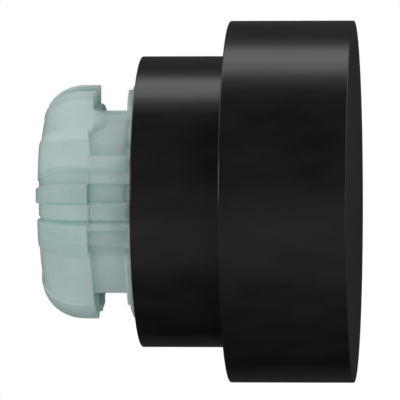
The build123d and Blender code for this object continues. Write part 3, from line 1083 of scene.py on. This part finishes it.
@dataclass(frozen=True)
class GuideCollar:
    """The pale collar behind the panel: spigot, notched neck, and bayonet crown with its index rib.

    The surface is one closed grid. At every angle the half-section is the same chain of corners, whose
    radii and heights change with the angle, so keys, windows, facets and ramps all grow out of it.
    """

    finish: bpy.types.Material
    bore: float = 7.4 * MM
    spigot: float = 11.05 * MM
    hidden_spigot: float = 10.85 * MM
    flange: float = 12.25 * MM
    flange_front: float = 3.6 * MM
    flange_rear: float = 2.4 * MM
    ring_groove: float = 10.3 * MM
    ring_groove_rear: float = 0.9 * MM
    ring_groove_front: float = 1.9 * MM
    neck: float = 8.6 * MM
    spigot_front: float = 0.02 * MM
    spigot_rear: float = -0.8 * MM
    ledge_front: float = -3.74 * MM
    ledge_slant: float = 0.10 * MM
    ramp_length: float = 1.1 * MM
    ledge_height: float = 1.23 * MM
    ledge_lean: float = 0.48 * MM
    groove_depth: float = 0.22 * MM
    groove_width: float = 0.18 * MM
    crown_corner: float = 3.8 * MM
    crown_flat: float = 7.95 * MM
    crown_steps: int = 15
    lobe_start: float = 0.86
    lobe_blend: float = 0.08
    ramp_step: float = 0.08 * MM
    rear_edge: float = 0.21 * MM
    web_edge: float = 0.25 * MM
    stem_edge: float = 0.08 * MM
    web_front: float = -1.9 * MM
    web_rear: float = -4.0 * MM
    stem: float = 4.06 * MM
    stem_flats: float = 3.56 * MM
    columns: int = 620
    angle_samples: int = 7200
    corner_steps: int = 4
    corner_share: float = 0.45
    guard_reach: float = 1.1
    step_soft: float = 0.45
    rear_soft: float = 0.6
    flat_soft: float = 1.0
    tone_soft: float = 1.2
    groove_soft: float = 1.5
    ramp_soft: float = 3.0
    edge_crowding: float = 7.0
    edge_spread: float = 0.7
    # where the painted light and shade of the crown pass into those of the neck
    tone_seam: float = -4.3 * MM
    tone_blend: float = 0.3 * MM
    # painted light: lifts the neck's colour towards the bezel, where the bezel shades it
    painted_lift_rear: float = -2.8 * MM
    painted_lift_length: float = 1.8 * MM
    painted_lift_gain: float = 0.3
    tone_gain: float = 0.75
    # painted shade: the colour darkens in the hollows at and below the neck's floor over this depth
    hollow_depth: float = 0.9 * MM
    # painted shade: the colour darkens inside the bezel, down to panel_dark
    panel_rear: float = -0.2 * MM
    panel_length: float = 0.8 * MM
    panel_dark: float = 0.15
    edge_angles: tuple[float, ...] = (
        -62, -29, -24.4, -20, -15.4, -11.9, -10.6, -9.3, -1.4, -0.9, 0.1, 8.8, 9.1, 14.1, 17.8, 23.3, 32,
        40, 62, 72, 90, -90,
    )
    # painted light and shade round the axis for the crown: lighter or darker by angle as light falls on each
    # face, the top band painted darker
    crown_painted_shading: tuple[Run, ...] = (
        Run(-90, -62, 0.78, 0.83), Run(-62, -29, 0.94, 0.90), Run(-29, -12, 0.58, 0.58),
        Run(-12, -1, 0.72, 0.72), Run(-1, 9, 0.40, 0.40), Run(9, 18, 0.62, 0.72), Run(18, 32, 0.90, 0.88),
        Run(32, 40, 0.97, 0.97), Run(40, 72, 0.90, 0.88), Run(72, 90, 0.25, 0.05),
    )
    # painted light and shade round the axis for the neck, lighter or darker by angle as light falls on it
    neck_painted_shading: tuple[Run, ...] = (
        Run(-90, -52, 0.60, 0.80), Run(-52, -31, 0.95, 0.95), Run(-31, -12, 0.62, 0.62),
        Run(-12, -1, 0.42, 0.42), Run(-1, 9, 0.85, 0.85), Run(9, 17.8, 0.70, 0.70), Run(17.8, 24, 0.75, 0.75),
        Run(24, 47.6, 1.0, 1.0), Run(47.6, 54.5, 1.0, 1.0), Run(54.5, 62, 0.40, 0.40), Run(62, 90, 0.6, 0.6),
    )

    def angles(self) -> np.ndarray:
        """Angles round the collar, closer together at every edge of a key, window or lobe.

        Angles are spread so that each stands for the same share of a density, which is 1 plus a bell
        curve at each edge.

        Returns:
            Angles in degrees from -90 to 270, 0 towards -X and 90 up.
        """
        fine = np.linspace(-90, 270, self.angle_samples, endpoint=False)
        half = folded(fine)
        away = (half[:, None] - np.array(self.edge_angles)[None]) / self.edge_spread
        density = 1 + (self.edge_crowding * np.exp(-away ** 2)).sum(1)
        share = np.cumsum(density)
        share = (share - share[0]) / (share[-1] + density[-1] - share[0])
        return np.interp(np.linspace(0, 1, self.columns, endpoint=False), share, fine)

    def crown_radius(self, half: np.ndarray) -> np.ndarray:
        """Radius of the crown's side at each angle: round lobes, with flats and grooves between.

        Args:
            half: angles folded into one half turn.

        Returns:
            The radii.
        """
        return section((
            Run(-90, -62, 11.14, 11.04), Run(-62, -29, 11.00, 10.76, True),
            Run(-29, -20, 10.84, 11.07, True), Run(-20, -11.9, 11.03, 11.06),
            Run(-11.9, -10.6, 10.80, 10.35), Run(-10.6, -9.3, 10.35, 10.80),
            Run(-9.3, -1.5, 10.95, 10.95), Run(-1.5, -0.9, 10.70, 10.70), Run(-0.9, 8.8, 11.02, 11.02),
            Run(8.8, 14.3, 10.62, 10.76), Run(14.3, 15.2, 10.80, 10.66), Run(15.2, 17.8, 10.66, 11.02, True),
            Run(17.8, 32, 11.06, 10.99), Run(32, 40, 11.08, 10.88, True), Run(40, 62, 10.76, 10.85, True),
            Run(62, 72, 10.85, 11.02, True), Run(72, 90, 11.04, 10.50, True),
        ), half, self.step_soft)

    def crown_rear(self, half: np.ndarray, near: np.ndarray) -> np.ndarray:
        """Height of the crown's rear: the index rib stands proud, and the flats lie a little lower.

        Args:
            half: angles folded into one half turn.
            near: 1 on the side of the index rib, 0 on the other.

        Returns:
            The heights.
        """
        rear = section((
            Run(-90, -62, -9.2, -9.2), Run(-62, -29, -9.02, -9.02), Run(-29, -11.9, -9.15, -9.15),
            Run(-11.9, -9.3, -8.85, -8.85), Run(-9.3, -1.5, -8.98, -8.98), Run(-1.5, -0.9, -8.9, -8.9),
            Run(-0.9, 8.8, -9.1, -9.1), Run(8.8, 14.1, -9.0, -9.0), Run(14.1, 40, -9.12, -9.18),
            Run(40, 72, -9.0, -9.0), Run(72, 90, -9.1, -9.1),
        ), half, self.rear_soft)
        return rear - near * section((Run(-0.9, 8.8, 0.18, 0.18),), half, self.rear_soft)

    def lock_plane(self, half: np.ndarray, near: np.ndarray) -> np.ndarray:
        """Height of the crown's locking face, with gentle ramps that draw a block tight.

        Args:
            half: angles folded into one half turn.
            near: 1 on the side of the index rib, 0 on the other, whose upper lobe has its own ramp.

        Returns:
            The heights.
        """
        face = section((
            Run(-90, -29, -4.05, -4.05), Run(-29, -11.9, -4.22, -4.22), Run(-11.9, -0.9, -4.05, -4.05),
            Run(-0.9, 8.8, -4.20, -4.20), Run(8.8, 23.3, -4.05, -4.05), Run(23.3, 40, -3.97, -4.32),
            Run(40, 72, -3.80, -4.24), Run(72, 90, -4.02, -4.02),
        ), half, self.step_soft)
        ramp = section((Run(-90, -62, 0.16, -0.40), Run(-62, -40, -0.40, 0.0)), half, self.step_soft)
        return face + (1 - near) * ramp

    def neck_radius(self, half: np.ndarray) -> np.ndarray:
        """Radius of the neck: keys that reach the spigot's radius, low keys and open windows.

        Args:
            half: angles folded into one half turn.

        Returns:
            The radii.
        """
        return section((
            Run(-90, -58, 8.60, 10.14, True), Run(-58, -44, 10.14, 9.85, True),
            Run(-44, -24.4, 9.85, 9.85), Run(-24.4, -15.4, 10.16, 10.16),
            *LOW_KEY,
            Run(-9.3, -1.5, 10.97, 10.97), Run(-1.5, -0.6, 10.75, 10.75), Run(-0.6, 9.1, 10.25, 10.25),
            *MAIN_KEY,
            Run(23.3, 33, 10.36, 10.30), Run(33, 47.6, 10.24, 9.96), Run(47.6, 58, 10.02, 10.14, True),
            Run(58, 90, 10.14, 8.60, True),
        ), half, self.step_soft)

    def spigot_radius(self, half: np.ndarray, near: np.ndarray) -> np.ndarray:
        """Radius of the full spigot, with a notch beside each window and two flats on the near side.

        Args:
            half: angles folded into one half turn.
            near: 1 on the side of the index rib, 0 on the other.

        Returns:
            The radii.
        """
        near_side = section((
            Run(-90, -62, 9.75, 11.04, True), Run(-62, -31, 11.04, 11.04), Run(-31, -26, 9.8, 9.8),
            Run(-26, -15.4, 10.2, 10.2),
            *LOW_KEY,
            Run(-9.3, -0.2, 10.97, 10.97), Run(-0.2, 9.1, 9.85, 9.85),
            *MAIN_KEY,
            Run(23.3, 30.5, 10.1, 10.0), Run(30.5, 35, 9.75, 9.75), Run(35, 52, 9.9, 9.8),
            Run(52, 74, 11.04, 11.04), Run(74, 90, 11.04, 10.60, True),
        ), half, self.step_soft)
        return near * near_side + (1 - near) * self.spigot

    def ledge(self, half: np.ndarray, up: np.ndarray, neck: np.ndarray, crown: np.ndarray,
              lock: np.ndarray) -> tuple[np.ndarray, np.ndarray, np.ndarray]:
        """What stands between the neck and the locking face.

        It is a proud ledge above and below, a narrow groove across the keys, and a ramp that runs
        from the crown's upper flat down to the neck.

        Args:
            half: angles folded into one half turn.
            up: sine of each angle, 1 at the top and -1 at the bottom.
            neck: the neck's radii.
            crown: the crown's radii.
            lock: the locking face's heights.

        Returns:
            The radius, the front height and the height where the neck ends.
        """
        ends = np.clip((np.abs(up) - self.lobe_start) / self.lobe_blend, 0, 1)
        proud = self.neck + self.ledge_height - self.ledge_lean * up
        grooved = section((Run(-12, 15.5, 1.0, 1.0),), half, self.groove_soft) / MM
        ledge = np.maximum(neck - self.groove_depth * grooved, proud * ends)
        front = np.maximum(lock + self.groove_width,
                           lock * (1 - ends) + (self.ledge_front + self.ledge_slant * up) * ends)
        sloped = section((Run(43, 57, 1.0, 1.0),), half, self.ramp_soft) / MM
        ledge = ledge + (crown - self.ramp_step - ledge) * sloped
        return ledge, front, front + self.ramp_length * sloped

    def corners(self, angle: np.ndarray) -> tuple[np.ndarray, np.ndarray]:
        """The chain of corners at each angle.

        Args:
            angle: angles in degrees, 0 towards -X and 90 up.

        Returns:
            The corners as (angle, corner, radius and forward), and each corner's rounding.
        """
        half = folded(angle)
        near = (angle < 90).astype(float)
        up = np.sin(np.radians(angle))
        crown = self.crown_radius(half)
        rear = self.crown_rear(half, near)
        lock = self.lock_plane(half, near)
        neck = self.neck_radius(half)
        spigot = self.spigot_radius(half, near)
        ledge, ledge_front, foot = self.ledge(half, up, neck, crown, lock)
        spigot_rear = self.spigot_rear + near * section((
            Run(-90, -52, -0.30, 0.0), Run(-52, 52, 0.0, 0.0), Run(52, 90, 0.0, -0.30),
        ), half, self.flat_soft)
        hole = np.minimum(self.stem, self.stem_flats / np.maximum(np.abs(up), TINY))
        level = np.zeros_like(angle)
        chain = [
            (self.bore, self.flange_front, 0.12), (self.flange, self.flange_front, 0.12),
            (self.flange, self.flange_rear, 0.12), (self.hidden_spigot, self.flange_rear, 0.0),
            (self.hidden_spigot, self.ring_groove_front, 0.0),
            (self.ring_groove, self.ring_groove_front, 0.0),
            (self.ring_groove, self.ring_groove_rear, 0.0),
            (self.hidden_spigot, self.ring_groove_rear, 0.0),
            (self.hidden_spigot, self.spigot_front, 0.0), (spigot, 0.0, 0.0),
            (spigot, spigot_rear, 0.10), (neck, spigot_rear, 0.18),
            (neck, foot, 0.18), (ledge, ledge_front, 0.12), (ledge, lock, 0.10),
            (crown, lock, 0.16),
        ]
        radii = [level + radius for radius, _, _ in chain]
        heights = [level + height for _, height, _ in chain]
        rounds = [rounding * MM for _, _, rounding in chain]
        # a quarter of an ellipse, from the crown's side to its flat rear rim
        straight_end = rear + self.crown_corner
        for step in np.linspace(0, np.pi / 2, self.crown_steps):
            radii.append(self.crown_flat + (crown - self.crown_flat) * math.cos(step))
            heights.append(straight_end - self.crown_corner * math.sin(step))
            rounds.append(0.0)
        for radius, height, rounding in (
                (self.bore, rear, self.rear_edge), (self.bore, self.web_rear, self.web_edge),
                (hole, self.web_rear, self.stem_edge), (hole, self.web_front, self.stem_edge),
                (self.bore, self.web_front, self.web_edge)):
            radii.append(level + radius)
            heights.append(level + height)
            rounds.append(rounding)
        return np.stack([np.stack(radii, 1), np.stack(heights, 1)], -1), np.array(rounds)

    def surface(self) -> tuple[np.ndarray, np.ndarray, np.ndarray]:
        """Round every corner and carry the chain round the axis.

        A corner with a rounding becomes a parabola between two points on its runs, as far from the
        corner as the rounding or nearly half of the run allows; a guard point beyond each end keeps
        the runs' shading flat.

        Returns:
            The points, the quads and the painted light-and-shade mark, 1 where painted lightest and 0 where
            painted darkest.
        """
        angle = self.angles()
        corner, rounding = self.corners(angle)
        before = np.roll(corner, 1, 1) - corner
        after = np.roll(corner, -1, 1) - corner
        length_before = np.linalg.norm(before, axis=2, keepdims=True)
        length_after = np.linalg.norm(after, axis=2, keepdims=True)
        rows = []
        for index, size in enumerate(rounding):
            here = corner[:, index]
            if size <= 0:
                rows.append(here[:, None])
                continue
            back, ahead = (run[:, index] * np.minimum(size / np.maximum(length[:, index], TINY),
                                                      self.corner_share)
                           for run, length in ((before, length_before), (after, length_after)))
            share = np.linspace(0, 1, self.corner_steps)[None, :, None]
            arc = here[:, None] + (1 - share) ** 2 * back[:, None] + share ** 2 * ahead[:, None]
            rows += [(here + back * self.guard_reach)[:, None], arc,
                     (here + ahead * self.guard_reach)[:, None]]
        profile = np.concatenate(rows, 1)
        turn = np.radians(angle)[:, None]
        radius, forward = profile[..., 0], profile[..., 1]
        points = np.stack([-radius * np.cos(turn), -forward, radius * np.sin(turn)], -1)
        return points.reshape(-1, 3), grid_faces(*radius.shape), self.painted_shading(angle, radius, forward)

    def painted_shading(self, angle: np.ndarray, radius: np.ndarray, forward: np.ndarray) -> np.ndarray:
        """Painted light and shade for each point: how light or dark its colour is painted to stand in for how
        light falls there.

        The crown and the neck each have a chain of painted tones round the axis, and the tone passes from one
        to the other at the locking face. Painted light lifts the neck towards the bezel, where the bezel
        shades it, and painted shade darkens the points below the neck's floor and inside the bezel.

        Args:
            angle: angles in degrees, 0 towards -X and 90 up.
            radius: each point's radius, one row for each angle.
            forward: each point's forward height.

        Returns:
            One number from 0 to 1 for each point.
        """
        half = folded(angle)[:, None]
        crown = section(self.crown_painted_shading, half, self.tone_soft) / MM
        neck = section(self.neck_painted_shading, half, self.tone_soft) / MM
        share = np.clip((forward - self.tone_seam) / self.tone_blend, 0, 1)
        # painted light: lifts the neck's colour towards the bezel, where the bezel shades it
        thick = np.clip((forward - self.painted_lift_rear) / self.painted_lift_length, 0, 1)
        tone = self.tone_gain * (crown * (1 - share) + neck * share) + self.painted_lift_gain * thick
        # painted shade: darker in the hollows at and below the neck's floor
        recess_shade = np.clip((radius - self.neck) / self.hollow_depth, 0, 1)
        # painted shade: darker inside the bezel
        panel = np.clip(1 - (forward - self.panel_rear) / self.panel_length, self.panel_dark, 1)
        return tone * recess_shade * panel

    def build(self) -> None:
        """Make the collar, in place of the CAD one."""
        points, quads, painted_shading = self.surface()
        collar = make_piece("bayonet_collar", points, quads, {"painted_shading": painted_shading})
        dress(collar, self.finish, "natural_polyamide", Body.HOUSING, "guide_collar")


@dataclass(frozen=True)
class InnerWorks:
    """The CAD pieces that keep their own shape, each with the finish of its kind."""

    palette: Palette

    def build(self, nodes: dict[str, bpy.types.Object]) -> None:
        """Dress every carried-over node.

        Args:
            nodes: the frame's CAD nodes by name.
        """
        finishes = {
            self.palette.steel: ("collar_snap_ring", "spring_seat_washer", "cap_lock_washer", "stop_clip",
                                 "pusher_pin"),
            self.palette.acetal: ("plunger", "contact_pusher"),
            self.palette.brass: ("cap_insert",),
            self.palette.bezel: ("seal_retainer",),
        }
        for finish, names in finishes.items():
            for name in names:
                repaint(nodes[name], finish)


# ---------------------------------------------------------------- floor, light and camera


@dataclass(frozen=True)
class SoftLamp:
    """One area lamp that shines at the origin from an elevation round the button's axis."""

    name: str
    elevation: float
    distance: float
    width: float
    length: float
    radiance: float
    rearward: float = 0.0
    in_gloss: bool = True

    def build(self) -> None:
        """Hang the lamp; one that isn't in the gloss lights surfaces but makes no glint on edges.

        The elevation is measured round the Y axis from the camera's side, -X, up through Z, and the
        lamp then leans rearward, towards +Y. Its power is its radiance times pi times its area.
        """
        data = bpy.data.lights.new(self.name, "AREA")
        data.shape = "RECTANGLE"
        data.size, data.size_y = self.width, self.length
        data.energy = self.radiance * math.pi * self.width * self.length
        lamp = bpy.data.objects.new(self.name, data)
        turn, lean = math.radians(self.elevation), math.radians(self.rearward)
        towards = Vector((-math.cos(turn) * math.cos(lean), math.sin(lean), math.sin(turn) * math.cos(lean)))
        lamp.location = towards * self.distance
        lamp.rotation_mode = "QUATERNION"
        lamp.rotation_quaternion = (-towards).to_track_quat("-Z", "Y")
        lamp.visible_glossy = self.in_gloss
        bpy.context.scene.collection.objects.link(lamp)


@dataclass(frozen=True)
class TentStrip:
    """One stop of the light tent: an angle round the button's axis and the tent's radiance there."""

    angle: float
    radiance: float


@dataclass(frozen=True)
class LightTent:
    """An even tent along the button's axis, bright overhead; the camera itself sees plain white.

    Angles run round the Y axis from the camera's side, -X, up through Z. The strips are joined
    smoothly, so the satin plastic shows a soft highlight above and a faint one below. Each end of
    the tent glows a little, more towards its top, so the flat faces of the button aren't left black.
    """

    peak: float = 2.0
    front_glow: float = 0.55
    rear_glow: float = 0.25
    glow_start: float = 0.45
    glow_full: float = 0.95
    glow_bottom: float = -0.9
    glow_top: float = 0.6
    strips: tuple[TentStrip, ...] = (
        TentStrip(-180, 0.032), TentStrip(-150, 0.040), TentStrip(-122, 0.010), TentStrip(-95, 0.036),
        TentStrip(-62, 0.090), TentStrip(-44, 0.25), TentStrip(-22, 0.30), TentStrip(-3, 0.22),
        TentStrip(20, 0.085), TentStrip(55, 0.085), TentStrip(72, 0.12), TentStrip(83, 0.42),
        TentStrip(94, 1.75), TentStrip(102, 2.0), TentStrip(109, 1.60), TentStrip(120, 0.28),
        TentStrip(132, 0.10), TentStrip(160, 0.065), TentStrip(180, 0.035),
    )

    def build(self) -> None:
        """Make the world: the tent lights everything, and the camera's own rays see plain white."""
        world = bpy.data.worlds.new("light_tent")
        world.use_nodes = True
        tree = world.node_tree
        tree.nodes.clear()
        direction = tree.nodes.new("ShaderNodeTexCoord").outputs["Generated"]
        split = tree.nodes.new("ShaderNodeSeparateXYZ")
        tree.links.new(direction, split.inputs["Vector"])
        total = tree.nodes.new("ShaderNodeMix")
        total.data_type, total.blend_type = "RGBA", "ADD"
        total.inputs["Factor"].default_value = 1.0
        tree.links.new(self._sides(tree, split), total.inputs[6])
        tree.links.new(self._ends(tree, split), total.inputs[7])
        lit = tree.nodes.new("ShaderNodeBackground")
        lit.inputs["Strength"].default_value = self.peak
        tree.links.new(total.outputs[2], lit.inputs["Color"])
        seen = tree.nodes.new("ShaderNodeBackground")
        seen.inputs["Color"].default_value = (1, 1, 1, 1)
        path = tree.nodes.new("ShaderNodeLightPath")
        mix = tree.nodes.new("ShaderNodeMixShader")
        out = tree.nodes.new("ShaderNodeOutputWorld")
        tree.links.new(path.outputs["Is Camera Ray"], mix.inputs["Fac"])
        tree.links.new(lit.outputs["Background"], mix.inputs[1])
        tree.links.new(seen.outputs["Background"], mix.inputs[2])
        tree.links.new(mix.outputs["Shader"], out.inputs["Surface"])
        bpy.context.scene.world = world

    def _sides(self, tree: bpy.types.NodeTree, split: bpy.types.Node) -> bpy.types.NodeSocket:
        """Light from round the axis: the direction's angle, read through the strips.

        Args:
            tree: the tent's node tree.
            split: the node that gives a direction's X, Y and Z.

        Returns:
            The light's socket, as a share of the peak.
        """
        across = self._maths(tree, "MULTIPLY", split.outputs["X"], -1.0)
        angle = self._maths(tree, "ARCTAN2", split.outputs["Z"], across)
        share = self._maths(tree, "ADD", self._maths(tree, "DIVIDE", angle, 2 * math.pi), 0.5)
        ramp = tree.nodes.new("ShaderNodeValToRGB")
        ramp.color_ramp.interpolation = "EASE"
        stops = ramp.color_ramp.elements
        while len(stops) < len(self.strips):
            stops.new(0.5)
        for stop, strip in zip(stops, self.strips):
            stop.position = (strip.angle + 180) / 360
        for stop, strip in zip(stops, self.strips):
            stop.color = (*(strip.radiance / self.peak,) * 3, 1.0)
        tree.links.new(share, ramp.inputs["Fac"])
        return ramp.outputs["Color"]

    def _ends(self, tree: bpy.types.NodeTree, split: bpy.types.Node) -> bpy.types.NodeSocket:
        """Light from the two ends of the tent, more towards its top.

        Args:
            tree: the tent's node tree.
            split: the node that gives a direction's X, Y and Z.

        Returns:
            The light's socket, as a share of the peak.
        """
        front = self._glow(tree, split.outputs["Y"], -self.glow_start, -self.glow_full,
                           self.front_glow / self.peak)
        rear = self._glow(tree, split.outputs["Y"], self.glow_start, self.glow_full,
                          self.rear_glow / self.peak)
        height = self._glow(tree, split.outputs["Z"], self.glow_bottom, self.glow_top, 1.0)
        return self._maths(tree, "MULTIPLY", self._maths(tree, "ADD", front, rear), height)

    @staticmethod
    def _glow(tree: bpy.types.NodeTree, value: bpy.types.NodeSocket, low: float, high: float,
              top: float) -> bpy.types.NodeSocket:
        """A smooth rise from nothing to a top value as another value passes from low to high.

        Args:
            tree: the tent's node tree.
            value: socket of the value that passes.
            low: where the rise starts.
            high: where the rise ends.
            top: what it rises to.

        Returns:
            The result's socket.
        """
        node = tree.nodes.new("ShaderNodeMapRange")
        node.interpolation_type = "SMOOTHSTEP"
        for name, number in (("From Min", low), ("From Max", high), ("To Min", 0.0), ("To Max", top)):
            node.inputs[name].default_value = number
        tree.links.new(value, node.inputs["Value"])
        return node.outputs["Result"]

    @staticmethod
    def _maths(tree: bpy.types.NodeTree, operation: str, first: bpy.types.NodeSocket,
               second: bpy.types.NodeSocket | float) -> bpy.types.NodeSocket:
        """One Math node of the tent's tree.

        Args:
            tree: the tent's node tree.
            operation: the operation's name, such as MULTIPLY.
            first: socket of the first value.
            second: a number or the second value's socket.

        Returns:
            The result's socket.
        """
        node = tree.nodes.new("ShaderNodeMath")
        node.operation = operation
        tree.links.new(first, node.inputs[0])
        if isinstance(second, float):
            node.inputs[1].default_value = second
        else:
            tree.links.new(second, node.inputs[1])
        return node.outputs["Value"]


@dataclass(frozen=True)
class Studio:
    """Pale floor, the light tent, and two soft side lamps that reach into the collar."""

    floor_drop: float = 0.060
    floor_size: float = 0.40
    tent: LightTent = LightTent()
    lamps: tuple[SoftLamp, ...] = (
        SoftLamp("rear_side_soft", 16.0, 0.60, 0.26, 0.26, 3.35, rearward=33.0),
        SoftLamp("front_side_soft", -2.0, 0.60, 0.34, 0.34, 4.8, rearward=-34.0, in_gloss=False),
    )

    def floor(self) -> None:
        """Lay the pale floor under the object, unseen by the gloss of the black plastic."""
        edge, level = self.floor_size, -self.floor_drop
        mesh = bpy.data.meshes.new("floor")
        mesh.from_pydata([(-edge, -edge, level), (edge, -edge, level), (edge, edge, level),
                          (-edge, edge, level)], [], [(0, 1, 2, 3)])
        mesh.materials.append(FloorPaper("floor_paper").build())
        floor = bpy.data.objects.new("floor", mesh)
        floor.visible_glossy = False
        bpy.context.scene.collection.objects.link(floor)

    def build(self) -> None:
        """Set floor, tent and lamps."""
        self.floor()
        self.tent.build()
        for lamp in self.lamps:
            lamp.build()
        bpy.context.scene.view_settings.view_transform = "Standard"
        log.info("studio: %d lamps", len(self.lamps))


@dataclass(frozen=True)
class CameraRig:
    """The camera, level with the button's axis and a little to its front."""

    target: tuple[float, float, float] = (0.0, -0.005550, 0.000159)
    distance: float = 0.462
    ahead: float = 4.544
    lens: float = 436.6

    def build(self) -> None:
        """Place the camera and make it the scene's."""
        data = bpy.data.cameras.new("camera")
        data.lens = self.lens
        data.sensor_width = 36.0
        data.clip_start, data.clip_end = 0.01, 100.0
        camera = bpy.data.objects.new("camera", data)
        turn = math.radians(self.ahead)
        away = Vector((-math.cos(turn), -math.sin(turn), 0.0))
        camera.location = Vector(self.target) + away * self.distance
        camera.rotation_mode = "QUATERNION"
        camera.rotation_quaternion = (-away).to_track_quat("-Z", "Y")
        bpy.context.scene.collection.objects.link(camera)
        bpy.context.scene.camera = camera


# ---------------------------------------------------------------- assembly


def main() -> None:
    """Build the button head piece by piece, then the studio round it."""
    logging.basicConfig(level=logging.INFO, format="%(name)s: %(message)s")
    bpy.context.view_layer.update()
    palette = Palette.mixed()
    MushroomCap(palette.cap).build()
    BezelRing(palette.bezel).build()
    GuideCollar(palette.nylon).build()
    RubberRings(palette.rubber).build()
    ReturnSpring(palette.steel).build()
    InnerWorks(palette).build(frame["nodes"])
    Studio().build()
    CameraRig().build()


if __name__ == "__main__":
    main()
